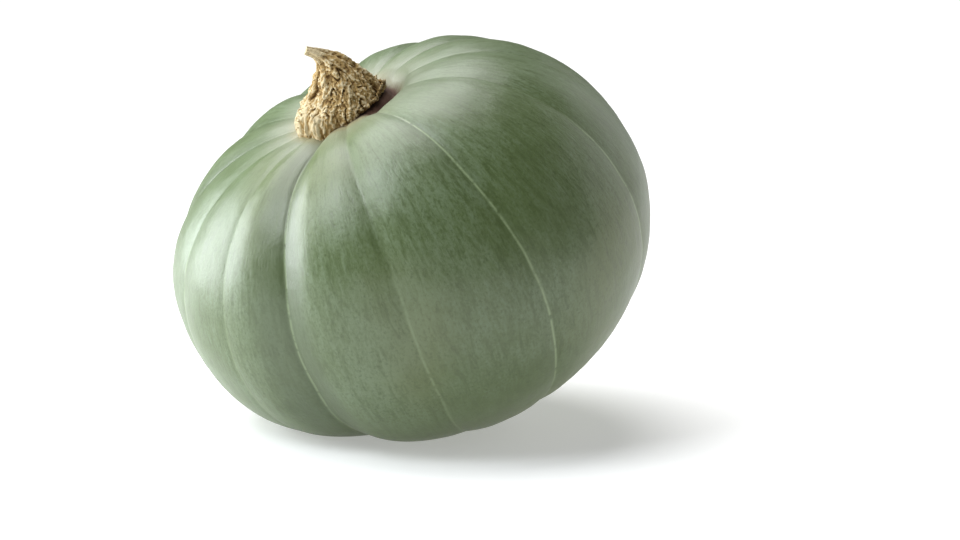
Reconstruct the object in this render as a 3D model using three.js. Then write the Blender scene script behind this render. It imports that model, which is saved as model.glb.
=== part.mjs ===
// A blue-green winter squash pumpkin: one whole fruit with its dry corky stem, lying as it settles
// on a table, with the stem end leaning over.
//
// Frame: millimetres, +Z up. The fruit rests on the plane Z = 0 and leans towards -X.
// The origin is on that plane, at the middle of the whole pumpkin's box.
// Each piece is a skin of rings between two poles, so it is one closed body.

import * as THREE from 'three';

// ---------------------------------------------------------------- driving dimensions, mm and degrees

const FRUIT_RADIUS = 130;
const STEM_END_RISE = 100.5;
const BLOSSOM_END_RISE = 101.2;
const LEAN = 25.2;

// Superellipse powers of the upper and lower halves: 1 is an ellipse, less is fuller.
const SHOULDER_WIDTH_POWER = 0.944;
const SHOULDER_HEIGHT_POWER = 0.988;
const BELLY_WIDTH_POWER = 0.95;
const BELLY_HEIGHT_POWER = 0.997;

// The stem end is off centre, tipped to one side and sunk in a wide dimple.
const STEM_END_OFFSET = new THREE.Vector2(-10.4, -1.8);
const SHOULDER_SLOPE = new THREE.Vector2(0.086, -0.127);
const STEM_DIMPLE_DEPTH = 16.7;
const STEM_DIMPLE_RADIUS = 49;
const BLOSSOM_DIMPLE_DEPTH = 5.5;
const BLOSSOM_DIMPLE_RADIUS = 17;

// How far the fruit would reach below the table if it had no flat spot, and how gently the skin turns
// into that spot.
const REST_SINK = 9.8;
const REST_FLATNESS = 1.4;
const REST_SOFTNESS = 4.2;

// One furrow runs from stem end to blossom end at each of these azimuths about the core line.
// shoulder and side are its depths near the stem end and round the widest ring, and before and after
// are the angles that it spreads on each side of its line.
const FURROWS = [
  { azimuth: 16, shoulder: 2.2, side: 1.0, before: 8, after: 6 },
  { azimuth: 45, shoulder: 2.6, side: 1.3, before: 7, after: 7 },
  { azimuth: 74, shoulder: 2.2, side: 1.1, before: 8, after: 6 },
  { azimuth: 103, shoulder: 2.4, side: 1.2, before: 7, after: 8 },
  { azimuth: 131, shoulder: 3.0, side: 1.4, before: 8, after: 7 },
  { azimuth: 158, shoulder: 1.0, side: 0.6, before: 7, after: 5 },
  { azimuth: 180, shoulder: 1.0, side: 0.6, before: 8, after: 6 },
  { azimuth: 199.8, shoulder: 4.6, side: 5.0, before: 11, after: 6.5 },
  { azimuth: 228, shoulder: 1.4, side: 1.0, before: 6, after: 5 },
  { azimuth: 258, shoulder: 1.8, side: 0.8, before: 5, after: 6 },
  { azimuth: 296, shoulder: 0.7, side: 0.4, before: 6, after: 5 },
  { azimuth: 323, shoulder: 1.2, side: 0.3, before: 6, after: 8 },
  { azimuth: 350, shoulder: 1.7, side: 0.6, before: 7, after: 7 },
];
const FURROW_SHOULDER_ANGLE = 42;
const FURROW_SHOULDER_SPREAD = 26;
const FURROW_FADE_RADIUS = 30;

// The stem: a broad corky cone that narrows to a thin, bent beak. Each station gives the centre's rise
// above the seat, how far it stands aside, and the radius there.
const STEM_SEAT_RADIUS = 22.8;
const STEM_STATIONS = [
  { rise: 4.0, aside: -0.6, radius: 22.4 },
  { rise: 9.0, aside: 0.2, radius: 19.7 },
  { rise: 14.2, aside: 0.6, radius: 16.4 },
  { rise: 19.4, aside: 0.7, radius: 12.8 },
  { rise: 25.2, aside: 0.2, radius: 9.2 },
  { rise: 30.6, aside: -1.7, radius: 4.6 },
  { rise: 34.6, aside: -4.6, radius: 2.9 },
  { rise: 37.8, aside: -8.4, radius: 2.3 },
];
const STEM_BEND_AZIMUTH = -36.4;

// Towards one side the foot of the stem spreads over the skin, and that spread dies away up the wall.
const STEM_FOOT_SPREAD = 6.6;
const STEM_FOOT_AZIMUTH = 180;
const STEM_FOOT_ANGLE = 40;
const STEM_FOOT_RISE = 15;

const STEM_SEAT_GAP = 0.3;
const STEM_RIDGES = 9;
const STEM_RIDGE_HEIGHT = 0.06;

// The blossom scar: a low corky button in the dimple at the other end.
const SCAR_RADIUS = 8;
const SCAR_THICKNESS = 2.6;
const SCAR_GAP = 0.3;

// How finely the skins are divided.
const SEGMENTS = 72;
const SEAT_RINGS = 4;
const FLANK_RINGS = 28;
const SCAR_RINGS = 2;
const STEM_WALL_RINGS = 13;

// ---------------------------------------------------------------- materials

const skinMaterial = new THREE.MeshStandardMaterial({ color: 0x6f8268, roughness: 0.55, metalness: 0 });
const corkMaterial = new THREE.MeshStandardMaterial({ color: 0xa38c60, roughness: 0.9, metalness: 0 });
const scarMaterial = new THREE.MeshStandardMaterial({ color: 0x8d7148, roughness: 0.9, metalness: 0 });

// ---------------------------------------------------------------- the fruit's surface

function signedPower(base, power) {
  return Math.sign(base) * Math.abs(base) ** power;
}

// The polar angle, from the stem end, of the ring with this radius on the upper or the lower half.
function polarAtRadius(radius, widthPower) {
  return Math.asin((radius / FRUIT_RADIUS) ** (1 / widthPower));
}

// The angle from one azimuth to another, in degrees and between -180 and 180.
function degreesBetween(azimuth, lineDegrees) {
  const turn = azimuth - THREE.MathUtils.degToRad(lineDegrees);
  return THREE.MathUtils.radToDeg(Math.atan2(Math.sin(turn), Math.cos(turn)));
}

function furrowDepth(polar, azimuth, ringRadius) {
  const fromShoulder = (THREE.MathUtils.radToDeg(polar) - FURROW_SHOULDER_ANGLE) / FURROW_SHOULDER_SPREAD;
  const shoulderShare = Math.exp(-(fromShoulder ** 2));
  const fade = 1 - Math.exp(-((ringRadius / FURROW_FADE_RADIUS) ** 2));
  let depth = 0;
  for (const furrow of FURROWS) {
    const away = degreesBetween(azimuth, furrow.azimuth);
    const spread = away < 0 ? furrow.before : furrow.after;
    const deepest = THREE.MathUtils.lerp(furrow.side, furrow.shoulder, shoulderShare);
    depth += deepest * fade * Math.exp(-((away / spread) ** 2));
  }
  return depth;
}

// A point of the skin in the fruit's own frame: the core line is Z, and the centre is the origin.
function fruitPoint(polar, azimuth) {
  const across = Math.sin(polar);
  const along = Math.cos(polar);
  const upper = along > 0;
  const radius = FRUIT_RADIUS * across ** (upper ? SHOULDER_WIDTH_POWER : BELLY_WIDTH_POWER);
  let height = upper
    ? STEM_END_RISE * signedPower(along, SHOULDER_HEIGHT_POWER)
    : BLOSSOM_END_RISE * signedPower(along, BELLY_HEIGHT_POWER);
  if (upper) {
    height -= STEM_DIMPLE_DEPTH * Math.exp(-((radius / STEM_DIMPLE_RADIUS) ** 2));
  } else {
    height += BLOSSOM_DIMPLE_DEPTH * Math.exp(-((radius / BLOSSOM_DIMPLE_RADIUS) ** 2));
  }
  const flat = new THREE.Vector2(Math.cos(azimuth), Math.sin(azimuth)).multiplyScalar(radius);
  const share = upper ? along ** 2 : 0;
  height += share * SHOULDER_SLOPE.dot(flat);
  flat.addScaledVector(STEM_END_OFFSET, share);
  const outward = new THREE.Vector3(across * Math.cos(azimuth), across * Math.sin(azimuth), along);
  const point = new THREE.Vector3(flat.x, flat.y, height);
  return point.addScaledVector(outward, -furrowDepth(polar, azimuth, radius));
}

function lean(point) {
  return point.clone().applyEuler(new THREE.Euler(0, -THREE.MathUtils.degToRad(LEAN), 0));
}

// ---------------------------------------------------------------- skins of rings

function ringOf(pointAt) {
  return Array.from({ length: SEGMENTS }, (_, i) => pointAt((2 * Math.PI * i) / SEGMENTS));
}

// Closes a stack of rings with a pole at each end. Seen from outside, the rings run downwards and each
// ring runs anticlockwise about +Z.
function closedSkin(firstPole, rings, lastPole) {
  const points = [firstPole, ...rings.flat(), lastPole];
  const last = points.length - 1;
  const at = (ring, step) => 1 + ring * SEGMENTS + (step % SEGMENTS);
  const index = [];
  for (let step = 0; step < SEGMENTS; step += 1) {
    index.push(0, at(0, step), at(0, step + 1));
    for (let ring = 0; ring < rings.length - 1; ring += 1) {
      index.push(at(ring, step), at(ring + 1, step), at(ring + 1, step + 1));
      index.push(at(ring, step), at(ring + 1, step + 1), at(ring, step + 1));
    }
    index.push(at(rings.length - 1, step), last, at(rings.length - 1, step + 1));
  }
  const geometry = new THREE.BufferGeometry().setFromPoints(points);
  geometry.setIndex(index);
  geometry.computeVertexNormals();
  return geometry;
}

function evenSteps(from, to, count) {
  return Array.from({ length: count }, (_, i) => from + ((to - from) * (i + 1)) / count);
}

// ---------------------------------------------------------------- how the fruit sits

const seatShares = evenSteps(0, 1, SEAT_RINGS);
const flankShares = evenSteps(0, 1, FLANK_RINGS);
const scarSeatPolar = Math.PI - polarAtRadius(SCAR_RADIUS, BELLY_WIDTH_POWER);
const scarSeatPolars = evenSteps(scarSeatPolar, Math.PI, SCAR_RINGS).slice(0, -1);

function footSpread(azimuth) {
  return STEM_FOOT_SPREAD * Math.exp(-((degreesBetween(azimuth, STEM_FOOT_AZIMUTH) / STEM_FOOT_ANGLE) ** 2));
}

// The polar angle of the stem's edge, which the foot's spread moves outwards.
function stemSeatPolar(azimuth) {
  return polarAtRadius(STEM_SEAT_RADIUS + footSpread(azimuth), SHOULDER_WIDTH_POWER);
}

function flankPolar(share, azimuth) {
  return THREE.MathUtils.lerp(stemSeatPolar(azimuth), scarSeatPolar, share);
}

// How far the leaned fruit reaches below its centre.
const lowestReach = -Math.min(
  ...flankShares.flatMap((share) => ringOf((azimuth) => lean(fruitPoint(flankPolar(share, azimuth), azimuth)).z)),
);
const restHeight = lowestReach - REST_SINK;

// Leans a point of the fruit's own frame over, and sets the fruit down on the plane Z = 0: whatever would
// sink below the plane becomes the flat spot.
function settle(point) {
  const leaned = lean(point);
  const above = leaned.z + restHeight + REST_FLATNESS;
  const soft = above + REST_SOFTNESS * Math.log1p(Math.exp(-above / REST_SOFTNESS));
  leaned.z = Math.max(soft - REST_FLATNESS, 0);
  return leaned;
}

// ---------------------------------------------------------------- pieces

function makeFruit() {
  const ringAt = (polarOf) => ringOf((azimuth) => settle(fruitPoint(polarOf(azimuth), azimuth)));
  const rings = [
    ...seatShares.map((share) => ringAt((azimuth) => share * stemSeatPolar(azimuth))),
    ...flankShares.map((share) => ringAt((azimuth) => flankPolar(share, azimuth))),
    ...scarSeatPolars.map((polar) => ringAt(() => polar)),
  ];
  const geometry = closedSkin(settle(fruitPoint(0, 0)), rings, settle(fruitPoint(Math.PI, 0)));
  const mesh = new THREE.Mesh(geometry, skinMaterial);
  mesh.name = 'fruit';
  return mesh;
}

// A point of the stem's underside, which follows the skin of the dimple with a small gap. Share is 0 at
// the core line and 1 at the stem's edge.
function stemSeatPoint(share, azimuth) {
  return fruitPoint(share * stemSeatPolar(azimuth), azimuth).add(new THREE.Vector3(0, 0, STEM_SEAT_GAP));
}

// One ring of the stem's wall. Low rings keep the slope of the seat, and high ones lose it.
function stemRing(path, radii, share, seat) {
  const centre = path.getPoint(share).add(seat);
  const turn = new THREE.Quaternion();
  turn.setFromUnitVectors(new THREE.Vector3(0, 0, 1), path.getTangent(share));
  const radius = radii.getPoint(share).x;
  const footShare = THREE.MathUtils.clamp(1 - (centre.z - seat.z) / STEM_FOOT_RISE, 0, 1);
  return ringOf((azimuth) => {
    const ridge = 1 + STEM_RIDGE_HEIGHT * Math.cos(STEM_RIDGES * azimuth);
    const spoke = new THREE.Vector3(Math.cos(azimuth), Math.sin(azimuth), 0);
    const reach = radius * ridge + footSpread(azimuth) * footShare;
    const point = spoke.multiplyScalar(reach).applyQuaternion(turn).add(centre);
    point.z += (stemSeatPoint(1, azimuth).z - seat.z) * (1 - share) ** 2;
    return point;
  });
}

function makeStem() {
  const bend = new THREE.Vector2(1, 0).rotateAround(
    new THREE.Vector2(),
    THREE.MathUtils.degToRad(STEM_BEND_AZIMUTH),
  );
  const path = new THREE.CatmullRomCurve3(
    STEM_STATIONS.map(({ rise, aside }) => new THREE.Vector3(aside * bend.x, aside * bend.y, rise)),
  );
  const radii = new THREE.SplineCurve(
    STEM_STATIONS.map(({ rise, radius }) => new THREE.Vector2(radius, rise)),
  );
  const rim = ringOf((azimuth) => stemSeatPoint(1, azimuth));
  const seat = stemSeatPoint(0, 0);
  seat.z = rim.reduce((sum, point) => sum + point.z, 0) / SEGMENTS;
  const shares = [0, ...evenSteps(0, 1, STEM_WALL_RINGS)].reverse();
  const wall = shares.map((share) => stemRing(path, radii, share, seat));
  const underside = seatShares.slice(0, -1).reverse();
  const floor = underside.map((share) => ringOf((azimuth) => stemSeatPoint(share, azimuth)));
  const tip = path.getPoint(1).add(seat);
  const mesh = new THREE.Mesh(closedSkin(tip, [...wall, rim, ...floor], stemSeatPoint(0, 0)), corkMaterial);
  mesh.name = 'stem';
  return mesh;
}

// A point of the scar: depth 0 is its face against the skin, and 1 is its outer face.
function scarPoint(polar, azimuth, depth) {
  const crown = Math.cos(((Math.PI - polar) / (Math.PI - scarSeatPolar)) * (Math.PI / 2));
  const out = SCAR_GAP + SCAR_THICKNESS * depth * (1 + crown) / 2;
  return settle(fruitPoint(polar, azimuth).add(new THREE.Vector3(0, 0, -out)));
}

function makeBlossomScar() {
  const inward = scarSeatPolars;
  const seatRing = (depth) => (polar) => ringOf((azimuth) => scarPoint(polar, azimuth, depth));
  const back = [...inward].reverse().map(seatRing(0));
  const rims = [seatRing(0)(scarSeatPolar), seatRing(1)(scarSeatPolar)];
  const face = inward.map(seatRing(1));
  const rings = [...back, ...rims, ...face];
  const geometry = closedSkin(scarPoint(Math.PI, 0, 0), rings, scarPoint(Math.PI, 0, 1));
  const mesh = new THREE.Mesh(geometry, scarMaterial);
  mesh.name = 'blossom_scar';
  return mesh;
}

// ---------------------------------------------------------------- assembly

const fruit = makeFruit();

const leaning = new THREE.Group();
leaning.rotation.y = -THREE.MathUtils.degToRad(LEAN);
leaning.position.z = restHeight;
leaning.add(makeStem());

const pumpkin = new THREE.Group();
pumpkin.add(fruit, leaning, makeBlossomScar());
pumpkin.updateMatrixWorld(true);

const box = new THREE.Box3().setFromObject(pumpkin, true);
pumpkin.position.set(-(box.min.x + box.max.x) / 2, -(box.min.y + box.max.y) / 2, 0);
pumpkin.updateMatrixWorld(true);

export default pumpkin;
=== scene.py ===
import math

import bpy
from bpy.props import FloatProperty, FloatVectorProperty, IntProperty, PointerProperty
from mathutils import Matrix, Vector, noise
from mathutils.bvhtree import BVHTree


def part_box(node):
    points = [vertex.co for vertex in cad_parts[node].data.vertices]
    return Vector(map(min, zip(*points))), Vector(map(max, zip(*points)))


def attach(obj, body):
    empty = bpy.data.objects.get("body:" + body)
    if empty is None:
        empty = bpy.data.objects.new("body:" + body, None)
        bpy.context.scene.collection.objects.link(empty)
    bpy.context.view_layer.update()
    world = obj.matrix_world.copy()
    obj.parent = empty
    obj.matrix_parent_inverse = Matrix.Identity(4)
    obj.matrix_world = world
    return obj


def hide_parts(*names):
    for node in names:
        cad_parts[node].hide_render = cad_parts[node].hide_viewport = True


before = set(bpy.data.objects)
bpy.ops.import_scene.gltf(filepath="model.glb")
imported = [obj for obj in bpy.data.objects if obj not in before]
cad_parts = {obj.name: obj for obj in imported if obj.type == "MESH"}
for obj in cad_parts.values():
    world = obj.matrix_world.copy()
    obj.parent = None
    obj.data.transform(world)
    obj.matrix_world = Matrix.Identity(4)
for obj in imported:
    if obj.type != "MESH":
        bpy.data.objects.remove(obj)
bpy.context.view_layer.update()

bl_info = {
    "name": "Winter squash pumpkin",
    "version": (1, 0, 0),
    "blender": (4, 5, 0),
    "location": "3D View > Sidebar > Pumpkin",
    "description": "A whole blue-green winter squash with a dry corky stem, lying as it settles",
    "category": "Add Mesh",
}

MM = 0.001
BODY = "root"

# Each furrow's azimuth about the core line, its depths near the stem end and round the widest ring,
# how far it spreads before and after its line, how pale its line is, and how far from the stem end that
# line starts. Degrees and millimetres.
FURROWS = (
    (16, 2.2, 1.0, 8, 6, 0.5, 20),
    (45, 2.6, 1.3, 7, 7, 0.7, 30),
    (74, 2.2, 1.1, 8, 6, 0.6, 20),
    (103, 2.4, 1.2, 7, 8, 0.8, 40),
    (131, 3.0, 1.4, 8, 7, 0.6, 20),
    (158, 1.0, 0.6, 7, 5, 0.7, 50),
    (180, 1.0, 0.6, 8, 6, 0.3, 30),
    (199.8, 4.6, 5.0, 11, 6.5, 0.6, 15),
    (228, 1.4, 1.0, 6, 5, 0.45, 62),
    (258, 1.8, 0.8, 5, 6, 1.0, 17),
    (296, 0.7, 0.4, 6, 5, 0.9, 52),
    (323, 1.2, 0.3, 6, 8, 0.2, 30),
    (350, 1.7, 0.6, 7, 7, 0.4, 30),
)

# The stem's stations: rise above the seat, how far aside, and radius, in millimetres.
STEM_STATIONS = (
    (0.0, 0.0, 22.8),
    (4.0, -0.6, 22.4),
    (9.0, 0.2, 19.7),
    (14.2, 0.6, 16.4),
    (19.4, 0.7, 12.8),
    (25.2, 0.2, 9.2),
    (30.6, -1.7, 4.6),
    (34.6, -4.6, 2.9),
    (37.8, -8.4, 2.1),
)

# How square the fruit's upper and lower halves are: 1 is a plain ellipse.
SHOULDER_WIDTH_POWER = 0.944
SHOULDER_HEIGHT_POWER = 0.988
BELLY_WIDTH_POWER = 0.95
BELLY_HEIGHT_POWER = 0.997

# Furrows are deepest at the shoulder angle from the stem end, and die away near both ends. A furrow as deep
# as DEEP_FURROW has a "furrow" attribute of 1, by which the rind paints shade into it.
FURROW_SHOULDER_ANGLE = math.radians(42)
FURROW_SHOULDER_SPREAD = math.radians(26)
FURROW_FADE_RADIUS = 30 * MM
DEEP_FURROW = 3.4 * MM
CREASE_SPREAD = math.radians(1.5)

# The pale line along a furrow: the angle over which it fades in, then its half width and its reach in degrees
# round the core line. FAR_AWAY is the angle to the nearest line before any is found.
LINE_FADE = math.radians(14)
LINE_HALF_WIDTH = 0.33
LINE_REACH = 3.0
FAR_AWAY = 10.0

# The dried hollow beside the stem's foot, then the gap across which the fruit's seam is joined.
PIT_ANGLE = math.radians(11.5)
PIT_SPREAD = math.radians(1.9)
RECESS_AZIMUTH = math.radians(312)
SEAM_GAP = 1e-6

# Rays that look for the skin start this far from the core's middle plane, outside the fruit.
RAY_START = 0.25

# The stem's pale flake low on one side, then its spreading foot.
FLAKE_PALENESS = 0.29
FLAKE_AZIMUTH = math.radians(172)
FLAKE_SPREAD = math.radians(36)
FLAKE_SHARE = 0.2
FLAKE_REACH = 0.16
FOOT_ANGLE = math.radians(40)
FOOT_RISE = 15 * MM

# The stem's mesh: its lowest share is sunk into the skin, and its closed end is STEM_FLOOR below the seat.
STEM_COLUMNS = 400
STEM_ROWS = 180
STEM_SINK = 0.7 * MM
STEM_SINK_SHARE = 0.06
STEM_FLOOR = 3 * MM
TANGENT_STEP = 0.02

# Warts: how many may be tried, and the least and the most that each is stretched.
WARTS_PER_SQUARE_METRE = 400000.0
WART_LEAST = (0.55, 0.55, 0.30)
WART_MOST = (1.35, 1.60, 0.75)

# The blossom scar's mesh, and how far its edge is sunk into the skin.
SCAR_COLUMNS = 120
SCAR_ROWS = 26
SCAR_SINK = 0.4 * MM

# Each light's place: degrees from the camera towards the left of its view, metres out and metres up.
# Each panel's width and height, in metres.
SKY_PLACE = (140, 0.85, 1.75)
SIDE_PLACE = (101, 1.1, 0.16)
SIDE_PANEL = (0.95, 0.85)
TOP_PLACE = (55, 0.75, 0.76)
TOP_PANEL = (0.45, 0.4)
RIM_PLACE = (-124, 1.15, 0.38)
RIM_PANEL = (1.4, 0.9)
PANEL_TINT = (0.92, 0.97, 1.0)
WHITE = (1, 1, 1, 1)


# ---------------------------------------------------------------- sizes and colours


def length(name, description, millimetres):
    return FloatProperty(name=name, description=description, default=millimetres * MM, unit="LENGTH")


def angle(name, description, degrees):
    return FloatProperty(name=name, description=description, default=math.radians(degrees), unit="ROTATION")


def colour_of(name, description, red, green, blue):
    return FloatVectorProperty(
        name=name, description=description, default=(red, green, blue), size=3, subtype="COLOR", min=0, max=1
    )


def power(name, description, watts):
    return FloatProperty(name=name, description=description, default=watts, unit="POWER")


def strength(name, description, value):
    return FloatProperty(name=name, description=description, default=value)


class PumpkinFruitSizes(bpy.types.PropertyGroup):
    """The fruit's driving sizes"""

    radius: length("Radius", "From the core line to the widest ring", 130)
    stem_end_rise: length("Stem end rise", "Centre to stem end, before its dimple", 100.5)
    blossom_end_rise: length("Blossom end rise", "Centre to blossom end, before its dimple", 101.2)
    lean: angle("Lean", "How far the core line leans over", 25.2)
    rest_height: length("Rest height", "Centre above the table", 97.46)
    rest_softness: length("Rest softness", "How gently the skin turns into its flat spot", 4.2)
    rest_flatness: length("Rest flatness", "How deep the flat spot is", 1.4)
    stem_dimple_depth: length("Stem dimple depth", "How far the stem end is sunk", 16.7)
    stem_dimple_radius: length("Stem dimple radius", "How wide the stem's dimple is", 49)
    blossom_dimple_depth: length("Blossom dimple depth", "How far the blossom end is sunk", 5.5)
    blossom_dimple_radius: length("Blossom dimple radius", "How wide its dimple is", 17)
    stem_end_offset: FloatVectorProperty(
        name="Stem end offset", description="How far off centre the stem end is", size=2,
        default=(-10.4 * MM, -1.8 * MM), subtype="XYZ", unit="LENGTH",
    )
    shoulder_slope: FloatVectorProperty(
        name="Shoulder slope", description="Slope of the stem end across the core line", size=2,
        default=(0.086, -0.127), subtype="XYZ",
    )
    crease_depth: length("Crease depth", "Sharp crease along each furrow's line", 0.3)
    crease_share: FloatProperty(
        name="Crease share", description="How much deeper a deep furrow's crease is",
        default=0.3, subtype="FACTOR",
    )
    unevenness: length("Unevenness", "Gentle swells of the skin", 0.9)
    wander: angle("Wander", "How far furrows stray from their meridians", 1.6)
    pit_depth: length("Pit depth", "Dried hollow beside the stem's foot", 8)
    rings: IntProperty(name="Rings", description="Divisions from end to end", default=196, min=16)
    columns: IntProperty(name="Columns", description="Divisions round the fruit", default=468, min=24)
    core: FloatVectorProperty(
        name="Core", description="Centre of the fruit, set when the fruit is made", size=3,
        default=(0, 0, 0), subtype="XYZ", unit="LENGTH",
    )


class PumpkinStemSizes(bpy.types.PropertyGroup):
    """The stem's and the blossom scar's sizes"""

    seat_radius: length("Seat radius", "Radius where the stem meets the skin", 22.8)
    bend_azimuth: angle("Bend azimuth", "Direction that the stem bows to", -36.4)
    foot_spread: length("Foot spread", "How far the foot spreads over the skin on one side", 6.6)
    foot_azimuth: angle("Foot azimuth", "Direction that the foot spreads to", 180)
    ribs: IntProperty(name="Ribs", description="Lengthwise ribs round the stem", default=9, min=3)
    rib_height: length("Rib height", "Height of the ribs", 0.9)
    fibre_height: length("Fibre height", "Height of the lengthwise fibres", 1.7)
    cork_height: length("Cork height", "Height of the corky crumbs", 1.2)
    slit_depth: length("Slit depth", "Depth of the dark slits", 2.2)
    wart_spacing: length("Wart spacing", "Least distance between warts", 1.9)
    wart_radius: length("Wart radius", "Radius of a common wart", 0.5)
    scar_radius: length("Scar radius", "Radius of the blossom scar", 8)
    scar_thickness: length("Scar thickness", "How far the scar stands out", 2.6)
    seed: IntProperty(name="Seed", description="Seed of the stem's lumps", default=7)


class PumpkinColours(bpy.types.PropertyGroup):
    """The colours of the rind, cork and stage"""

    rind: colour_of("Rind", "Blue-green rind", 0.078, 0.116, 0.036)
    # Darker green for the rind's specks and streaks, and painted shade in the furrows.
    dark_rind_and_furrow_shade: colour_of("Dark rind", "Deeper green in the furrows", 0.038, 0.060, 0.016)
    rind_pale: colour_of("Pale rind", "Bloomy grey-green", 0.134, 0.186, 0.098)
    rind_olive: colour_of("Olive rind", "Yellower patches", 0.098, 0.126, 0.033)
    # Yellower and paler low down: partly the rind's own tone, partly painted light bounced up from the floor.
    belly_rind_and_floor_light: colour_of("Belly rind", "Yellower rind low down", 0.176, 0.226, 0.090)
    rind_collar: colour_of("Rind collar", "Greyish rind round the stem", 0.236, 0.250, 0.175)
    seam_line: colour_of("Seam line", "Thin pale line along a furrow", 0.245, 0.315, 0.165)
    cork_light: colour_of("Light cork", "Cream cork on the ridges", 0.560, 0.465, 0.290)
    cork: colour_of("Cork", "Tan cork", 0.345, 0.228, 0.086)
    cork_dark: colour_of("Dark cork", "Brown in the cracks", 0.130, 0.070, 0.020)
    # Nearly black: partly the dried skin under the stem's edge, partly painted shade in the hollow beside the
    # stem.
    dried_skin_and_shade: colour_of("Recess", "Dried skin under the stem's edge", 0.045, 0.008, 0.001)
    floor: colour_of("Floor", "Plain pale floor", 0.74, 0.74, 0.74)


class PumpkinStageSizes(bpy.types.PropertyGroup):
    """Camera and lights"""

    view_azimuth: angle("View azimuth", "Where the camera stands, from -Y towards +X", -42.8)
    view_elevation: angle("View elevation", "How far the camera looks down", 10)
    view_distance: length("View distance", "Camera to the fruit's centre", 1216.6)
    aim_right: length("Aim right", "How far right of the centre the camera looks", 36.9)
    aim_down: length("Aim down", "How far below the centre the camera looks", 17.3)
    lens: FloatProperty(name="Lens", description="Focal length", default=85, unit="CAMERA")
    floor_reach: length("Floor reach", "Half the floor's width", 14000)
    world_light: strength("World light", "Strength of the white surroundings", 0.10)
    sky_light: strength("Sky light", "Strength of the wide light from above", 3.3)
    panel_light: power("Panel light", "Power of the side panel", 23)
    rim_light: power("Rim light", "Power of the light behind", 3.8)
    top_light: power("Top light", "Power of the panel above", 6.5)
    table_glow: strength("Table glow", "Light that comes up through the table", 0.34)


# ---------------------------------------------------------------- node wiring


class Wire:
    """One output of a node tree. Ordinary arithmetic on it adds the nodes that work the result out."""

    def __init__(self, tree, socket):
        self.tree = tree
        self.socket = socket

    def math(self, operation, *others):
        made = add(self.tree, "ShaderNodeMath", (self, *others), operation=operation)
        return Wire(self.tree, made.outputs[0])

    def __add__(self, other):
        return self.math("ADD", other)

    def __radd__(self, other):
        return self.math("ADD", other)

    def __sub__(self, other):
        return self.math("SUBTRACT", other)

    def __rsub__(self, other):
        return self.math("MULTIPLY_ADD", -1.0, other)

    def __mul__(self, other):
        return self.math("MULTIPLY", other)

    def __truediv__(self, other):
        return self.math("DIVIDE", other)

    def __pow__(self, other):
        return self.math("POWER", other)

    def __neg__(self):
        return self.math("MULTIPLY", -1.0)

    def __gt__(self, other):
        return self.math("GREATER_THAN", other)

    def __lt__(self, other):
        return self.math("LESS_THAN", other)

    def sin(self):
        return self.math("SINE")

    def cos(self):
        return self.math("COSINE")

    def size(self):
        return self.math("ABSOLUTE")

    def sign(self):
        return self.math("SIGN")

    def at_least(self, other):
        return self.math("MAXIMUM", other)

    def exp(self):
        return self.math("EXPONENT")

    def log(self):
        return self.math("LOGARITHM", math.e)

    def bell(self):
        """1 at zero, and falling away on both sides."""
        return (-(self * self)).exp()

    def ramp(self, low, high, start=0.0, end=1.0):
        """A smooth step from start at low to end at high."""
        values = (self, low, high, start, end)
        step = add(self.tree, "ShaderNodeMapRange", values, interpolation_type="SMOOTHSTEP")
        return Wire(self.tree, step.outputs[0])


def add(tree, kind, values=(), named=None, **settings):
    """Adds a node, with its settings, its first inputs in order and other inputs by name."""
    made = tree.nodes.new(kind)
    for key, value in settings.items():
        setattr(made, key, value)
    for socket, value in zip(made.inputs, values):
        plug(tree, socket, value)
    for key, value in (named or {}).items():
        plug(tree, made.inputs[key], value)
    return made


def plug(tree, socket, value):
    if isinstance(value, Wire):
        tree.links.new(value.socket, socket)
    elif isinstance(value, bpy.types.NodeSocket):
        tree.links.new(value, socket)
    else:
        socket.default_value = value


def combine(tree, x, y, z):
    return Wire(tree, add(tree, "ShaderNodeCombineXYZ", (x, y, z)).outputs[0])


def separate(tree, vector):
    return [Wire(tree, out) for out in add(tree, "ShaderNodeSeparateXYZ", (vector,)).outputs]


def blend(tree, share, first, second):
    """first where share is 0 and second where it is 1, for numbers."""
    return Wire(tree, add(tree, "ShaderNodeMix", (), {0: share, 2: first, 3: second}).outputs[0])


def grain(tree, vector, scale, detail=2.0, roughness=0.5, distortion=0.0):
    """A noise from about 0 to 1."""
    named = {
        "Vector": vector, "Scale": scale, "Detail": detail, "Roughness": roughness, "Distortion": distortion,
    }
    return Wire(tree, add(tree, "ShaderNodeTexNoise", (), named).outputs[0])


def new_tree(name, kind, inputs, outputs):
    """A node tree or group with named sockets, and its input wires by name."""
    tree = bpy.data.node_groups.new(name, kind)
    for label, socket, default in inputs:
        made = tree.interface.new_socket(name=label, in_out="INPUT", socket_type=socket)
        if default is not None:
            made.default_value = default
    for label, socket in outputs:
        tree.interface.new_socket(name=label, in_out="OUTPUT", socket_type=socket)
    entry = tree.nodes.new("NodeGroupInput")
    wires = {out.name: Wire(tree, out) for out in entry.outputs if out.name}
    return tree, wires


def finish_tree(tree, values):
    leave = tree.nodes.new("NodeGroupOutput")
    for key, value in values.items():
        plug(tree, leave.inputs[key], value)


def use_group(tree, group, kind, values):
    made = tree.nodes.new(kind)
    made.node_tree = group
    for key, value in values.items():
        plug(tree, made.inputs[key], value)
    return {out.name: Wire(tree, out) for out in made.outputs}


def place_piece(name, data):
    """A new object at the origin, in the scene."""
    piece = bpy.data.objects.new(name, data)
    bpy.context.collection.objects.link(piece)
    return piece


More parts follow.
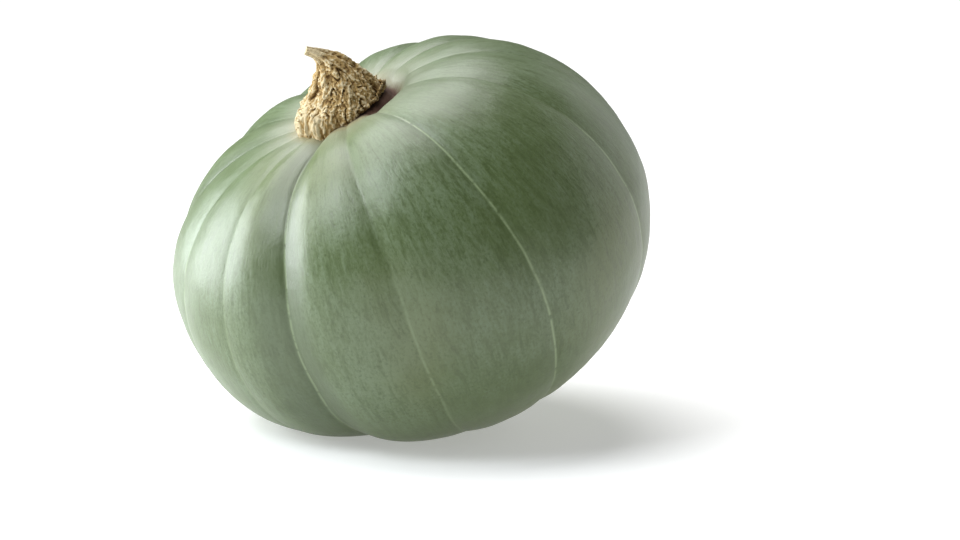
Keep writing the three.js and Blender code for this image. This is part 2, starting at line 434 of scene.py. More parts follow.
def grow(name, tree, settings, start=None):
    """Evaluates a geometry tree and keeps its result as a plain mesh object at the origin."""
    mesh = start if start is not None else bpy.data.meshes.new(name + "_start")
    seedling = place_piece(name + "_seedling", mesh)
    modifier = seedling.modifiers.new("Grow", "NODES")
    modifier.node_group = tree
    for item in tree.interface.items_tree:
        if item.in_out == "INPUT" and item.name in settings:
            modifier[item.identifier] = settings[item.name]
    depsgraph = bpy.context.evaluated_depsgraph_get()
    grown = bpy.data.meshes.new_from_object(seedling.evaluated_get(depsgraph), depsgraph=depsgraph)
    bpy.data.objects.remove(seedling)
    grown.name = name
    return place_piece(name, grown)


# ---------------------------------------------------------------- shared shader groups


def fine_grain_group():
    """Fine uneven relief and tone, used by the rind and the cork alike."""
    tree, wires = new_tree(
        "Fine grain", "ShaderNodeTree",
        [
            ("Vector", "NodeSocketVector", None), ("Scale", "NodeSocketFloat", 400.0),
            ("Depth", "NodeSocketFloat", 1.0),
        ],
        [("Tone", "NodeSocketFloat"), ("Height", "NodeSocketFloat")],
    )
    coarse = grain(tree, wires["Vector"], wires["Scale"], 3.0, 0.55)
    fine = grain(tree, wires["Vector"], wires["Scale"] * 3.3, 2.0, 0.6)
    mixed = coarse * 0.65 + fine * 0.35
    finish_tree(tree, {"Tone": mixed, "Height": mixed * wires["Depth"]})
    return tree


def fine_grain(tree, vector, scale, depth):
    """The fine grain group, built once and shared, with its own scale and depth in each material."""
    group = bpy.data.node_groups.get("Fine grain") or fine_grain_group()
    values = {"Vector": vector, "Scale": scale, "Depth": depth}
    return use_group(tree, group, "ShaderNodeGroup", values)


def new_material(name):
    material = bpy.data.materials.new(name)
    material.use_nodes = True
    tree = material.node_tree
    shader = tree.nodes["Principled BSDF"]
    return material, tree, shader


def attribute(tree, name):
    made = add(tree, "ShaderNodeAttribute", attribute_name=name)
    return Wire(tree, made.outputs["Vector"]), Wire(tree, made.outputs["Fac"])


def tint(tree, share, first, second):
    """first where share is 0 and second where it is 1, for colours."""
    return add(tree, "ShaderNodeMix", (), {0: share, 6: first, 7: second}, data_type="RGBA").outputs[2]


def object_place(tree):
    return Wire(tree, tree.nodes.new("ShaderNodeTexCoord").outputs["Object"])


def opaque(colour):
    return (*colour, 1.0)


def towards_recess(east, north):
    """1 in the hollow's direction from the core line, 0 across it and -1 away from it."""
    return east * math.cos(RECESS_AZIMUTH) + north * math.sin(RECESS_AZIMUTH)


def bump(tree, height, distance, strength=1.0):
    made = add(tree, "ShaderNodeBump", (), {"Strength": strength, "Distance": distance, "Height": height})
    return made.outputs[0]


# ---------------------------------------------------------------- materials


def rind_material(colours):
    """Bloomy blue-green rind: streaks along the meridians, mottle, pale furrow lines, a greyish collar;
    painted shade in the furrows and by the stem's foot, and partly painted floor light on the belly.
    """
    material, tree, shader = new_material("Rind")
    heading, _ = attribute(tree, "heading")
    suture, _ = attribute(tree, "suture")
    _, furrow = attribute(tree, "furrow")
    east, north, polar = separate(tree, heading)
    away, nearest, paleness = separate(tree, suture)
    place = object_place(tree)

    streak_space = combine(tree, east * 42.0, north * 42.0, polar * 8.0)
    streaks = grain(tree, streak_space, 1.0, 4.0, 0.6, 0.5)
    fleck_space = combine(tree, east * 85.0, north * 85.0, polar * 55.0)
    flecks = grain(tree, fleck_space, 1.0, 3.0, 0.6)
    patches = grain(tree, place, 17.0, 3.0, 0.55, 0.6)
    hue = grain(tree, place, 9.0, 2.0, 0.5)
    fine = fine_grain(tree, place, 420.0, 0.3)

    pale_share = (streaks * 0.45 + flecks * 0.35 + patches * 0.45).ramp(0.50, 0.84)
    colour = tint(tree, pale_share * 0.9, opaque(colours.rind), opaque(colours.rind_pale))
    colour = tint(tree, hue.ramp(0.46, 0.68) * 0.7, colour, opaque(colours.rind_olive))
    speck = (flecks * 0.6 + fine["Tone"] * 0.5).ramp(0.34, 0.56, 1.0, 0.0) * 0.5
    colour = tint(tree, speck, colour, opaque(colours.dark_rind_and_furrow_shade))
    dark_streak = streaks.ramp(0.32, 0.50, 1.0, 0.0) * 0.3
    colour = tint(tree, dark_streak, colour, opaque(colours.dark_rind_and_furrow_shade))
    # Painted shade: the rind darkens with each furrow's depth.
    shade = furrow.ramp(0.15, 1.1) * 0.6
    colour = tint(tree, shade, colour, opaque(colours.dark_rind_and_furrow_shade))

    broken = grain(tree, combine(tree, east * 8.0, north * 8.0, polar * 16.0), 1.0, 3.0, 0.6).ramp(0.28, 0.50)
    line = (away / LINE_HALF_WIDTH).bell() * (nearest < LINE_REACH) * paleness * broken
    colour = tint(tree, line * 0.8, colour, opaque(colours.seam_line))

    # Paler low down: partly the rind's own yellower belly, partly painted light bounced up from the floor.
    belly = polar.ramp(math.radians(105), math.radians(150)) * 0.6
    colour = tint(tree, belly, colour, opaque(colours.belly_rind_and_floor_light))
    collar = polar.ramp(math.radians(10), math.radians(24), 1.0, 0.0)
    colour = tint(tree, collar * 0.7, colour, opaque(colours.rind_collar))
    blush = polar.ramp(math.radians(10.6), math.radians(15), 1.0, 0.0) * 0.35
    colour = tint(tree, blush, colour, opaque(colours.cork))
    # Partly dried skin, partly painted shade: a near-black patch in the hollow beside the stem's foot, wider
    # on one side.
    recess_edge = towards_recess(east, north).ramp(0.45, 0.95, math.radians(10.4), math.radians(12.3))
    ragged = (flecks - 0.5) * math.radians(1.6)
    dried_skin_and_shade = (recess_edge - polar + ragged).ramp(math.radians(-0.8), math.radians(1.1))
    colour = tint(tree, dried_skin_and_shade * 0.95, colour, opaque(colours.dried_skin_and_shade))

    plug(tree, shader.inputs["Base Color"], colour)
    roughness = (streaks * 0.5 + flecks * 0.5).ramp(0.3, 0.7, 0.37, 0.46)
    plug(tree, shader.inputs["Roughness"], blend(tree, dried_skin_and_shade, roughness, 0.95))
    shader.inputs["Specular IOR Level"].default_value = 0.7
    relief = flecks * 0.5 + streaks * 0.6 + fine["Height"]
    plug(tree, shader.inputs["Normal"], bump(tree, relief, 0.4 * MM, 0.5))
    return material


def cork_material(colours):
    """Dry cork: cream ridges, tan flanks, brown cracks and slits, and a dark foot that is partly painted
    shade.
    """
    material, tree, shader = new_material("Cork")
    _, relief = attribute(tree, "relief")
    _, along = attribute(tree, "along")
    place = object_place(tree)
    fine = fine_grain(tree, place, 700.0, 1.0)
    patches = grain(tree, place, 60.0, 3.0, 0.6, 0.5)
    specks = grain(tree, place, 330.0, 2.0, 0.6)
    height = relief * 0.80 + patches * 0.25 + specks * 0.45
    colour = tint(tree, height.ramp(0.42, 0.70), opaque(colours.cork_dark), opaque(colours.cork))
    colour = tint(tree, height.ramp(0.72, 0.98), colour, opaque(colours.cork_light))
    # Partly dried cork, partly painted shade: the stem's foot takes the near-black hollow colour where it
    # meets the skin.
    foot = along.ramp(0.01, 0.05, 1.0, 0.0)
    colour = tint(tree, foot * 0.7, colour, opaque(colours.dried_skin_and_shade))
    beak = along.ramp(0.72, 0.90) * 0.85
    colour = tint(tree, beak, colour, opaque(colours.cork_light))
    plug(tree, shader.inputs["Base Color"], colour)
    plug(tree, shader.inputs["Roughness"], fine["Tone"].ramp(0.3, 0.7, 0.75, 0.95))
    shader.inputs["Specular IOR Level"].default_value = 0.25
    plug(tree, shader.inputs["Normal"], bump(tree, fine["Height"] + specks * 0.8, 0.5 * MM, 0.8))
    return material


def scar_material(colours):
    """The blossom scar's darker cork, with rings about its middle."""
    material, tree, shader = new_material("Scar cork")
    _, relief = attribute(tree, "relief")
    place = object_place(tree)
    fine = fine_grain(tree, place, 900.0, 1.0)
    height = relief * 0.7 + fine["Tone"] * 0.4
    colour = tint(tree, height.ramp(0.25, 0.85), opaque(colours.cork_dark), opaque(colours.cork))
    plug(tree, shader.inputs["Base Color"], colour)
    plug(tree, shader.inputs["Roughness"], fine["Tone"].ramp(0.3, 0.7, 0.8, 0.95))
    plug(tree, shader.inputs["Normal"], bump(tree, fine["Height"], 0.4 * MM, 0.7))
    return material


def floor_material(colours, glow):
    """A plain pale table top, softly lit from below."""
    material, tree, shader = new_material("Pale floor")
    shader.inputs["Base Color"].default_value = opaque(colours.floor)
    shader.inputs["Roughness"].default_value = 0.9
    shader.inputs["Specular IOR Level"].default_value = 0.1
    shader.inputs["Emission Color"].default_value = WHITE
    shader.inputs["Emission Strength"].default_value = glow
    return material


# ---------------------------------------------------------------- the fruit


FURROW_INPUTS = {
    "Azimuth": 0.0, "Line azimuth": 0.0, "Before": 0.1, "After": 0.1, "Shoulder depth": 0.0, "Side depth": 0.0,
    "Shoulder share": 0.0, "Paleness": 1.0, "Polar": 0.0, "Line start": 0.0,
}
FURROW_FOUND = {"Depth": 0.0, "Away": FAR_AWAY, "Line paleness": 0.0}


def furrow_group():
    """Adds one furrow to the depth so far, and keeps the nearest furrow line."""
    number = "NodeSocketFloat"
    inputs = [(name, number, default) for name, default in {**FURROW_INPUTS, **FURROW_FOUND}.items()]
    outputs = [(name, number) for name in FURROW_FOUND]
    tree, wires = new_tree("Furrow", "GeometryNodeTree", inputs, outputs)
    turn = wires["Azimuth"] - wires["Line azimuth"]
    away = turn.sin().math("ARCTAN2", turn.cos())
    spread = blend(tree, away > 0.0, wires["Before"], wires["After"])
    deepest = blend(tree, wires["Shoulder share"], wires["Side depth"], wires["Shoulder depth"])
    depth = wires["Depth"] + deepest * (away / spread).bell()
    closer = away.size() < wires["Away"].size()
    started = wires["Polar"].ramp(wires["Line start"], wires["Line start"] + LINE_FADE)
    finish_tree(tree, {
        "Depth": depth,
        "Away": blend(tree, closer, wires["Away"], away),
        "Line paleness": blend(tree, closer, wires["Line paleness"], wires["Paleness"] * started),
    })
    return tree


FRUIT_NUMBERS = (
    "Radius", "Stem end rise", "Blossom end rise", "Lean", "Rest height", "Rest softness", "Rest flatness",
    "Stem dimple depth", "Stem dimple radius", "Blossom dimple depth", "Blossom dimple radius",
    "Crease depth", "Crease share", "Unevenness", "Wander", "Pit depth",
)
FRUIT_INPUTS = (
    *((name, "NodeSocketFloat", None) for name in FRUIT_NUMBERS),
    ("Stem end offset", "NodeSocketVector", None),
    ("Shoulder slope", "NodeSocketVector", None),
    ("Rings", "NodeSocketInt", None),
    ("Columns", "NodeSocketInt", None),
    ("Rind", "NodeSocketMaterial", None),
)
GEOMETRY_OUT = (("Geometry", "NodeSocketGeometry"),)


def furrow_wires(tree, wires, azimuth, polar, radius):
    """The furrows' depth here, the signed angle to the nearest line, and how pale that line is."""
    shoulder = ((polar - FURROW_SHOULDER_ANGLE) / FURROW_SHOULDER_SPREAD).bell()
    group = furrow_group()
    found = FURROW_FOUND
    for line, shoulder_depth, side_depth, before, after, paleness, start in FURROWS:
        found = use_group(tree, group, "GeometryNodeGroup", {
            "Azimuth": azimuth,
            "Line azimuth": math.radians(line),
            "Before": math.radians(before),
            "After": math.radians(after),
            "Shoulder depth": shoulder_depth * MM,
            "Side depth": side_depth * MM,
            "Shoulder share": shoulder,
            "Paleness": paleness,
            "Polar": polar,
            "Line start": math.radians(start),
            **found,
        })
    fade = 1.0 - (radius / FURROW_FADE_RADIUS).bell()
    return found["Depth"] * fade, found["Away"], found["Line paleness"], fade


def store(tree, geometry, name, kind, value):
    named = {"Geometry": geometry, "Name": name}
    made = add(tree, "GeometryNodeStoreNamedAttribute", (), named, data_type=kind)
    plug(tree, made.inputs["Value"], value)
    return made.outputs["Geometry"]


def position(tree):
    return Wire(tree, tree.nodes.new("GeometryNodeInputPosition").outputs[0])


def finish_skin(tree, geometry, material):
    """Smooths the mesh, makes it real, gives it its material and ends the tree."""
    smooth = add(tree, "GeometryNodeSetShadeSmooth", (), {"Geometry": geometry})
    real = add(tree, "GeometryNodeRealizeInstances", (), {"Geometry": smooth.outputs[0]})
    named = {"Geometry": real.outputs[0], "Material": material}
    painted = add(tree, "GeometryNodeSetMaterial", (), named)
    finish_tree(tree, {"Geometry": painted.outputs[0]})


def fruit_tree():
    """The whole fruit by rule: a superellipse turned about its core, furrowed, dimpled, leaned and set."""
    tree, wires = new_tree("Fruit by rule", "GeometryNodeTree", FRUIT_INPUTS, GEOMETRY_OUT)
    grid = add(tree, "GeometryNodeMeshGrid", (1.0, 1.0, wires["Rings"], wires["Columns"]))
    along_grid, round_grid, _ = separate(tree, position(tree))
    polar = (along_grid + 0.5) * math.pi
    azimuth = (round_grid + 0.5) * math.tau
    east, north = azimuth.cos(), azimuth.sin()
    across, along = polar.sin().at_least(0.0), polar.cos()
    upper = along > 0.0

    width_power = blend(tree, upper, BELLY_WIDTH_POWER, SHOULDER_WIDTH_POWER)
    height_power = blend(tree, upper, BELLY_HEIGHT_POWER, SHOULDER_HEIGHT_POWER)
    radius = wires["Radius"] * across ** width_power
    rise = blend(tree, upper, wires["Blossom end rise"], wires["Stem end rise"])
    height = rise * along.sign() * along.size() ** height_power
    height = height - upper * wires["Stem dimple depth"] * (radius / wires["Stem dimple radius"]).bell()
    blossom_dimple = wires["Blossom dimple depth"] * (radius / wires["Blossom dimple radius"]).bell()
    height = height + (1.0 - upper) * blossom_dimple

    share = upper * along * along
    slope_x, slope_y, _ = separate(tree, wires["Shoulder slope"])
    offset_x, offset_y, _ = separate(tree, wires["Stem end offset"])
    height = height + share * radius * (slope_x * east + slope_y * north)

    stray = grain(tree, combine(tree, east, north, polar), 1.7, 2.0, 0.5) - 0.5
    bent = azimuth + stray * 2.0 * wires["Wander"]
    depth, away, paleness, fade = furrow_wires(tree, wires, bent, polar, radius)
    deepest = wires["Crease depth"] + depth * wires["Crease share"]
    crease = (-(away.size() / CREASE_SPREAD)).exp() * deepest * fade
    swells = grain(tree, combine(tree, east, north, polar), 3.2, 3.0, 0.5) - 0.5
    swell = swells * 2.0 * wires["Unevenness"] * fade
    pit_ring = ((polar - PIT_ANGLE) / PIT_SPREAD).bell()
    pit = wires["Pit depth"] * towards_recess(east, north).ramp(0.35, 1.0) * pit_ring
    inward = depth + crease - swell + pit
    x = radius * east + share * offset_x - inward * across * east
    y = radius * north + share * offset_y - inward * across * north
    z = height - inward * along

    lean_cos, lean_sin = wires["Lean"].cos(), wires["Lean"].sin()
    leaned_x = x * lean_cos - z * lean_sin
    above = x * lean_sin + z * lean_cos + wires["Rest height"] + wires["Rest flatness"]
    soft = above + wires["Rest softness"] * (1.0 + (-(above / wires["Rest softness"])).exp()).log()
    settled = (soft - wires["Rest flatness"]).at_least(0.0)

    geometry = grid.outputs[0]
    geometry = store(tree, geometry, "heading", "FLOAT_VECTOR", combine(tree, east, north, polar))
    degrees = away * (180.0 / math.pi)
    suture = combine(tree, degrees, degrees.size(), paleness)
    geometry = store(tree, geometry, "suture", "FLOAT_VECTOR", suture)
    geometry = store(tree, geometry, "furrow", "FLOAT", depth / DEEP_FURROW)
    place = combine(tree, leaned_x, y, settled)
    moved = add(tree, "GeometryNodeSetPosition", (), {"Geometry": geometry, "Position": place})
    seam = {"Geometry": moved.outputs[0], "Distance": SEAM_GAP}
    joined = add(tree, "GeometryNodeMergeByDistance", (), seam)
    finish_skin(tree, joined.outputs[0], wires["Rind"])
    return tree


def box_middle(mesh):
    """The middle of a mesh's box, seen from above."""
    sides = [[v.co[axis] for v in mesh.vertices] for axis in (0, 1)]
    return Vector((*((min(side) + max(side)) / 2 for side in sides), 0))


def make_fruit(scene):
    sizes = scene.pumpkin_fruit
    settings = {name: getattr(sizes, name.lower().replace(" ", "_")) for name in FRUIT_NUMBERS}
    settings["Stem end offset"] = (*sizes.stem_end_offset, 0.0)
    settings["Shoulder slope"] = (*sizes.shoulder_slope, 0.0)
    settings["Rings"] = sizes.rings
    settings["Columns"] = sizes.columns
    settings["Rind"] = rind_material(scene.pumpkin_colours)
    piece = grow("fruit_skin", fruit_tree(), settings)
    low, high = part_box("fruit")
    middle = (Vector(low) + Vector(high)) / 2
    shift = Vector((middle.x, middle.y, 0)) - box_middle(piece.data)
    piece.data.transform(Matrix.Translation(shift))
    sizes.core = shift + Vector((0, 0, sizes.rest_height))
    claim(piece, "skin", "fruit")


def claim(piece, slot, *nodes):
    """Makes a finished piece ride on the part, standing for these CAD nodes, and hides them. The slot is not
    used.
    """
    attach(piece, BODY)
    if nodes:
        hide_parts(*nodes)


# ---------------------------------------------------------------- the stem


def core_matrix(sizes):
    """Carries the fruit's own frame, with its core line along Z, to where the fruit lies."""
    return Matrix.Translation(sizes.core) @ Matrix.Rotation(-sizes.lean, 4, "Y")


def curve_through(stations, share):
    """A smooth curve through evenly shared stations, at share 0 to 1."""
    last = len(stations) - 1
    reach = min(max(share, 0.0), 1.0) * last
    step = min(int(reach), last - 1)
    t = reach - step
    p0, p1, p2, p3 = (Vector(stations[min(max(step + k, 0), last)]) for k in (-1, 0, 1, 2))
    square = p0 - 2.5 * p1 + 2 * p2 - p3 / 2
    cube = (p1 - p2 + (p3 - p0) / 3) * 1.5
    return p1 + t * (p2 - p0) / 2 + t * t * square + t * t * t * cube


def closed_skin(name, first_pole, rings, last_pole):
    """A closed mesh of quads from a stack of rings that run downwards, each anticlockwise about its axis."""
    columns = len(rings[0])
    points = [first_pole, *(point for ring in rings for point in ring), last_pole]
    last = len(points) - 1

    def at(ring, step):
        return 1 + ring * columns + step % columns

    faces = []
    for step in range(columns):
        faces.append((0, at(0, step), at(0, step + 1)))
        for ring in range(len(rings) - 1):
            faces.append((at(ring, step), at(ring + 1, step), at(ring + 1, step + 1), at(ring, step + 1)))
        faces.append((at(len(rings) - 1, step), last, at(len(rings) - 1, step + 1)))
    mesh = bpy.data.meshes.new(name)
    mesh.from_pydata(points, [], faces)
    mesh.shade_smooth()
    return mesh


def keep_attribute(mesh, name, values):
    mesh.attributes.new(name, "FLOAT", "POINT").data.foreach_set("value", values)


def smoothstep(low, high, value):
    t = min(max((value - low) / (high - low), 0.0), 1.0)
    return t * t * (3 - 2 * t)


def stem_relief(spot, seed):
    """Fibre, crumb and slit strengths at a spot of the stem's smooth form, given in millimetres."""

    def lumps(across, along):
        return noise.noise(Vector((spot.x / across, spot.y / across, spot.z / along + seed)))

    fibre = 0.7 * lumps(3.0, 22) + 0.5 * lumps(1.5, 10)
    crumb = 0.7 * lumps(1.3, 1.7) + 0.6 * lumps(0.7, 0.9)
    slit = (1 - smoothstep(0.02, 0.12, abs(lumps(4.2, 40)))) * smoothstep(0.0, 0.2, lumps(6, 8))
    return fibre, crumb, slit


def stem_height(share, azimuth, spot, sizes):
    """How far the stem stands out from its smooth form here, in metres, and a tone from 0 to 1."""
    fibre, crumb, slit = stem_relief(spot, sizes.seed)
    rib = math.cos(sizes.ribs * azimuth)
    slender = 1 - smoothstep(0.55, 1.0, share) * 0.75
    low = 1 - smoothstep(0.15, 0.55, share)
    height = slender * (sizes.rib_height * rib + sizes.fibre_height * fibre - sizes.slit_depth * slit)
    height += sizes.cork_height * slender * (0.6 + 0.4 * low) * crumb
    tone = 0.48 + 0.08 * rib + 0.50 * fibre + 0.60 * crumb - 0.60 * slit
    flake = FLAKE_PALENESS * bell(turn_between(azimuth, FLAKE_AZIMUTH) / FLAKE_SPREAD)
    tone += flake * bell((share - FLAKE_SHARE) / FLAKE_REACH)
    return height, min(max(tone, 0.0), 1.0)


def bell(value):
    return math.exp(-value * value)


def turn_between(first, second):
    return math.remainder(first - second, math.tau)


def skin_tree(piece):
    mesh = piece.data
    return BVHTree.FromPolygons([v.co for v in mesh.vertices], [p.vertices for p in mesh.polygons])


def onto_skin(tree, matrix, point, towards):
    """The skin's place under a point of the fruit's own frame, looking along its core."""
    start = matrix @ Vector((point.x, point.y, RAY_START * -towards))
    hit = tree.ray_cast(start, matrix.to_3x3() @ Vector((0, 0, towards)))[0]
    if hit is None:
        raise RuntimeError("the skin has no place under the stem or the scar")
    return matrix.inverted() @ hit


def make_stem(scene):
    sizes, fruit = scene.pumpkin_stem, scene.pumpkin_fruit
    matrix = core_matrix(fruit)
    skin = skin_tree(bpy.data.objects["fruit_skin"])
    angles = [math.tau * i / STEM_COLUMNS for i in range(STEM_COLUMNS)]
    end = Vector((*fruit.stem_end_offset, 0))
    spreads = [sizes.foot_spread * bell(turn_between(a, sizes.foot_azimuth) / FOOT_ANGLE) for a in angles]
    rim = []
    for azimuth, spread in zip(angles, spreads):
        reach = (sizes.seat_radius + spread) * Vector((math.cos(azimuth), math.sin(azimuth), 0))
        rim.append(onto_skin(skin, matrix, end + reach, -1))
    seat = end + Vector((0, 0, sum(point.z for point in rim) / STEM_COLUMNS))
    bend = Vector((math.cos(sizes.bend_azimuth), math.sin(sizes.bend_azimuth), 0))

    rings, tones, shares = [], [], []
    for row in range(STEM_ROWS):
        share = 1 - row / (STEM_ROWS - 1)
        rise, aside, radius = curve_through(STEM_STATIONS, share) * MM
        later = curve_through(STEM_STATIONS, share + TANGENT_STEP) * MM
        sooner = curve_through(STEM_STATIONS, share - TANGENT_STEP) * MM
        centre = seat + bend * aside + Vector((0, 0, rise))
        tangent = bend * (later.y - sooner.y) + Vector((0, 0, later.x - sooner.x))
        turn = Vector((0, 0, 1)).rotation_difference(tangent)
        ring = []
        flare = max(0.0, 1 - rise / FOOT_RISE)
        for azimuth, foot, spread in zip(angles, rim, spreads):
            flat = Vector((math.cos(azimuth), math.sin(azimuth), 0))
            spot = (flat * radius + Vector((0, 0, rise))) / MM
            height, tone = stem_height(share, azimuth, spot, sizes)
            point = centre + turn @ flat * (radius + spread * flare + height)
            sink = STEM_SINK * (1 - smoothstep(0.0, STEM_SINK_SHARE, share))
            point.z += (foot.z - seat.z) * (1 - share) ** 2 - sink
            ring.append(matrix @ point)
            tones.append(tone)
            shares.append(share)
        rings.append(ring)
    tip_centre = sum(rings[0], Vector()) / STEM_COLUMNS
    inside = matrix @ (seat - Vector((0, 0, STEM_FLOOR)))
    mesh = closed_skin("corky_stem", tip_centre, rings, inside)
    keep_attribute(mesh, "relief", [0.35, *tones, 0.2])
    keep_attribute(mesh, "along", [1.0, *shares, 0.0])
    mesh.materials.append(cork_material(scene.pumpkin_colours))
    claim(place_piece("corky_stem", mesh), "cork", "stem")


# ---------------------------------------------------------------- stem warts


WART_INPUTS = (
    ("Geometry", "NodeSocketGeometry", None),
    ("Spacing", "NodeSocketFloat", 0.002),
    ("Wart radius", "NodeSocketFloat", 0.001),
    ("Seed", "NodeSocketInt", 1),
    ("Cork", "NodeSocketMaterial", None),
)


def wart_tree():
    """Small corky warts scattered over the lower part of the stem."""
    tree, wires = new_tree("Warts over cork", "GeometryNodeTree", WART_INPUTS, GEOMETRY_OUT)
    along = add(tree, "GeometryNodeInputNamedAttribute", ("along",), data_type="FLOAT").outputs[0]
    corky = Wire(tree, along).ramp(0.10, 0.50, 1.0, 0.0) * (Wire(tree, along) > 0.015)
    scatter = {
        "Mesh": wires["Geometry"], "Distance Min": wires["Spacing"], "Density Max": WARTS_PER_SQUARE_METRE,
        "Density Factor": corky, "Seed": wires["Seed"],
    }
    spread = add(tree, "GeometryNodeDistributePointsOnFaces", (), scatter, distribute_method="POISSON")
    ball = add(tree, "GeometryNodeMeshIcoSphere", (wires["Wart radius"], 2))
    size = add(tree, "FunctionNodeRandomValue", (), {"Seed": wires["Seed"]}, data_type="FLOAT_VECTOR")
    size.inputs[0].default_value = WART_LEAST
    size.inputs[1].default_value = WART_MOST
    placing = {
        "Points": spread.outputs["Points"], "Instance": ball.outputs[0],
        "Rotation": spread.outputs["Rotation"], "Scale": size.outputs[0],
    }
    put = add(tree, "GeometryNodeInstanceOnPoints", (), placing)
    real = add(tree, "GeometryNodeRealizeInstances", (), {"Geometry": put.outputs[0]})
    spot = position(tree)
    tone = grain(tree, spot, 260.0, 2.0, 0.6)
    geometry = store(tree, real.outputs[0], "relief", "FLOAT", tone.ramp(0.3, 0.7, 0.25, 1.0))
    geometry = store(tree, geometry, "along", "FLOAT", 0.3)
    normal = tree.nodes.new("GeometryNodeInputNormal").outputs[0]
    lumps = (grain(tree, spot, 900.0, 2.0, 0.6) - 0.5) * wires["Wart radius"] * 0.9
    push = add(tree, "ShaderNodeVectorMath", (normal,), {"Scale": lumps}, operation="SCALE")
    moved = add(tree, "GeometryNodeSetPosition", (), {"Geometry": geometry, "Offset": push.outputs[0]})
    finish_skin(tree, moved.outputs[0], wires["Cork"])
    return tree


def make_warts(scene):
    sizes = scene.pumpkin_stem
    stem = bpy.data.objects["corky_stem"]
    settings = {
        "Spacing": sizes.wart_spacing, "Wart radius": sizes.wart_radius, "Seed": sizes.seed,
        "Cork": stem.data.materials[0],
    }
    piece = grow("cork_warts", wart_tree(), settings, start=stem.data)
    claim(piece, "cork")


# ---------------------------------------------------------------- the blossom scar


def make_scar(scene):
    sizes, fruit = scene.pumpkin_stem, scene.pumpkin_fruit
    matrix = core_matrix(fruit)
    skin = skin_tree(bpy.data.objects["fruit_skin"])
    rings, tones = [], []
    for row in range(SCAR_ROWS):
        share = 1 - row / SCAR_ROWS
        ring = []
        for step in range(SCAR_COLUMNS):
            azimuth = math.tau * step / SCAR_COLUMNS
            east, north = math.cos(azimuth), math.sin(azimuth)
            edge = 1 + 0.09 * noise.noise(Vector((east * 2, north * 2, 5)))
            foot = onto_skin(skin, matrix, Vector((east, north, 0)) * sizes.scar_radius * share * edge, 1)
            crown = math.cos(share * math.pi / 2) ** 0.6
            crack = abs(math.sin(5 * azimuth + noise.noise(Vector((east, north, share * 3))) * 2)) ** 0.4
            lump = noise.noise(Vector((east * share * 6, north * share * 6, 9)))
            out = sizes.scar_thickness * crown * (0.62 + 0.22 * crack * share + 0.2 * lump)
            ring.append(matrix @ (foot - Vector((0, 0, out - SCAR_SINK * share))))
            tones.append(min(max(0.25 + 0.4 * crack + 0.3 * lump, 0.0), 1.0))
        rings.append(ring)
    pole = onto_skin(skin, matrix, Vector(), 1)
    inside = matrix @ (pole + Vector((0, 0, 1 * MM)))
    crown_middle = matrix @ (pole - Vector((0, 0, sizes.scar_thickness * 0.7)))
    mesh = closed_skin("blossom_scar_cork", inside, rings, crown_middle)
    keep_attribute(mesh, "relief", [0.2, *tones, 0.2])
    mesh.materials.append(scar_material(scene.pumpkin_colours))
    claim(place_piece("blossom_scar_cork", mesh), "scar", "blossom_scar")


# ---------------------------------------------------------------- stage


def view_axes(stage):
    """The camera's right, up and back directions."""
    flat = Vector((math.sin(stage.view_azimuth), -math.cos(stage.view_azimuth), 0))
    back = flat * math.cos(stage.view_elevation) + Vector((0, 0, math.sin(stage.view_elevation)))
    right = Vector((0, 0, 1)).cross(flat)
    return right, back.cross(right), back


def make_camera(scene):
    stage = scene.pumpkin_stage
    right, up, back = view_axes(stage)
    aim = Vector(scene.pumpkin_fruit.core) + right * stage.aim_right - up * stage.aim_down
    data = bpy.data.cameras.new("studio_camera")
    data.lens = stage.lens
    data.clip_end = 100
    camera = place_piece("studio_camera", data)
    camera.location = aim + back * stage.view_distance
    camera.rotation_mode = "QUATERNION"
    camera.rotation_quaternion = back.to_track_quat("Z", "Y")
    scene.camera = camera


def light_place(stage, core, azimuth, reach, rise):
    """A place round the fruit: azimuth turns from the camera towards the left of its view, in degrees."""
    right, _, back = view_axes(stage)
    flat_back = Vector((back.x, back.y, 0)).normalized()
    turn = math.radians(azimuth)
    return core + reach * (flat_back * math.cos(turn) - right * math.sin(turn)) + Vector((0, 0, rise))


def make_light(scene, name, kind, place, energy, **settings):
    """A light that looks at the fruit's centre."""
    core = Vector(scene.pumpkin_fruit.core)
    data = bpy.data.lights.new(name, kind)
    data.energy = energy
    for key, value in settings.items():
        setattr(data, key, value)
    light = place_piece(name, data)
    light.location = light_place(scene.pumpkin_stage, core, *place)
    light.rotation_mode = "QUATERNION"
    light.visible_camera = False
    light.rotation_quaternion = (core - light.location).to_track_quat("-Z", "Y")


def make_panel(scene, name, place, energy, size, colour=(1, 1, 1)):
    width, height = size
    make_light(scene, name, "AREA", place, energy, color=colour, shape="RECTANGLE", size=width, size_y=height)


def make_lights(scene):
    stage = scene.pumpkin_stage
    make_light(scene, "wide_light", "SUN", SKY_PLACE, stage.sky_light, angle=math.radians(55))
    make_panel(scene, "side_panel", SIDE_PLACE, stage.panel_light, SIDE_PANEL, PANEL_TINT)
    make_panel(scene, "top_panel", TOP_PLACE, stage.top_light, TOP_PANEL, PANEL_TINT)
    make_panel(scene, "rim_panel", RIM_PLACE, stage.rim_light, RIM_PANEL)


def make_floor(scene):
    reach = scene.pumpkin_stage.floor_reach
    mesh = bpy.data.meshes.new("floor")
    corners = [(-reach, -reach, 0), (reach, -reach, 0), (reach, reach, 0), (-reach, reach, 0)]
    mesh.from_pydata(corners, [], [(0, 1, 2, 3)])
    mesh.materials.append(floor_material(scene.pumpkin_colours, scene.pumpkin_stage.table_glow))
    place_piece("floor", mesh)


def make_world(scene):
    world = bpy.data.worlds.new("white_surroundings")
    world.use_nodes = True
    background = world.node_tree.nodes["Background"]
    background.inputs["Color"].default_value = WHITE
    background.inputs["Strength"].default_value = scene.pumpkin_stage.world_light
    scene.world = world
    scene.view_settings.view_transform = "Standard"


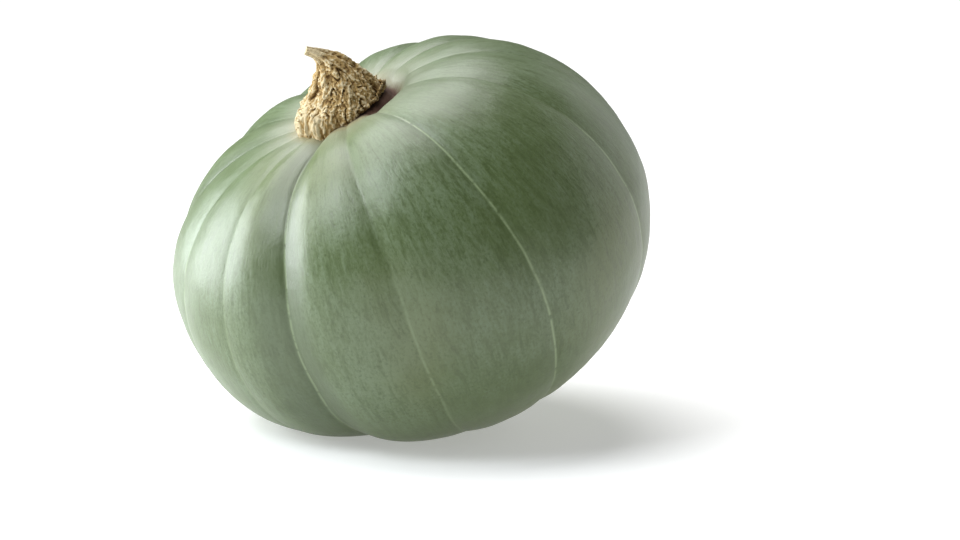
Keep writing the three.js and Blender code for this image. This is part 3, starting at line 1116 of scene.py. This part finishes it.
# ---------------------------------------------------------------- operators and panel


class PUMPKIN_OT_fruit(bpy.types.Operator):
    """Grow the fruit: rind, furrows, dimples and flat spot"""

    bl_idname = "pumpkin.fruit"
    bl_label = "Fruit"
    bl_options = {"REGISTER", "UNDO"}

    def execute(self, context):
        make_fruit(context.scene)
        return {"FINISHED"}


class PUMPKIN_OT_stem(bpy.types.Operator):
    """Grow the ribbed corky stem on the fruit's dimple"""

    bl_idname = "pumpkin.stem"
    bl_label = "Stem"
    bl_options = {"REGISTER", "UNDO"}

    def execute(self, context):
        make_stem(context.scene)
        return {"FINISHED"}


class PUMPKIN_OT_warts(bpy.types.Operator):
    """Scatter corky warts over the lower part of the stem"""

    bl_idname = "pumpkin.warts"
    bl_label = "Stem warts"
    bl_options = {"REGISTER", "UNDO"}

    def execute(self, context):
        make_warts(context.scene)
        return {"FINISHED"}


class PUMPKIN_OT_scar(bpy.types.Operator):
    """Grow the corky blossom scar"""

    bl_idname = "pumpkin.scar"
    bl_label = "Blossom scar"
    bl_options = {"REGISTER", "UNDO"}

    def execute(self, context):
        make_scar(context.scene)
        return {"FINISHED"}


class PUMPKIN_OT_stage(bpy.types.Operator):
    """Set up the floor, the surroundings, the lights and the camera"""

    bl_idname = "pumpkin.stage"
    bl_label = "Stage"
    bl_options = {"REGISTER", "UNDO"}

    def execute(self, context):
        make_floor(context.scene)
        make_world(context.scene)
        make_lights(context.scene)
        make_camera(context.scene)
        return {"FINISHED"}


STEPS = (PUMPKIN_OT_fruit, PUMPKIN_OT_stem, PUMPKIN_OT_warts, PUMPKIN_OT_scar, PUMPKIN_OT_stage)
GROUPS = {
    "pumpkin_fruit": PumpkinFruitSizes,
    "pumpkin_stem": PumpkinStemSizes,
    "pumpkin_colours": PumpkinColours,
    "pumpkin_stage": PumpkinStageSizes,
}


class PUMPKIN_PT_panel(bpy.types.Panel):
    """Sizes, colours and steps of the pumpkin"""

    bl_idname = "PUMPKIN_PT_panel"
    bl_label = "Pumpkin"
    bl_space_type = "VIEW_3D"
    bl_region_type = "UI"
    bl_category = "Pumpkin"

    def draw(self, context):
        for step in STEPS:
            self.layout.operator(step.bl_idname)
        for name, group in GROUPS.items():
            box = self.layout.box()
            box.label(text=group.__doc__)
            for key in group.__annotations__:
                box.prop(getattr(context.scene, name), key)


def register():
    for group in GROUPS.values():
        bpy.utils.register_class(group)
    for name, group in GROUPS.items():
        setattr(bpy.types.Scene, name, PointerProperty(type=group))
    for step in STEPS:
        bpy.utils.register_class(step)
    bpy.utils.register_class(PUMPKIN_PT_panel)


def unregister():
    bpy.utils.unregister_class(PUMPKIN_PT_panel)
    for step in reversed(STEPS):
        bpy.utils.unregister_class(step)
    for name in GROUPS:
        delattr(bpy.types.Scene, name)
    for group in reversed(GROUPS.values()):
        bpy.utils.unregister_class(group)


def main():
    register()
    for step in STEPS:
        family, name = step.bl_idname.split(".")
        getattr(getattr(bpy.ops, family), name)()


if __name__ == "__main__":
    main()
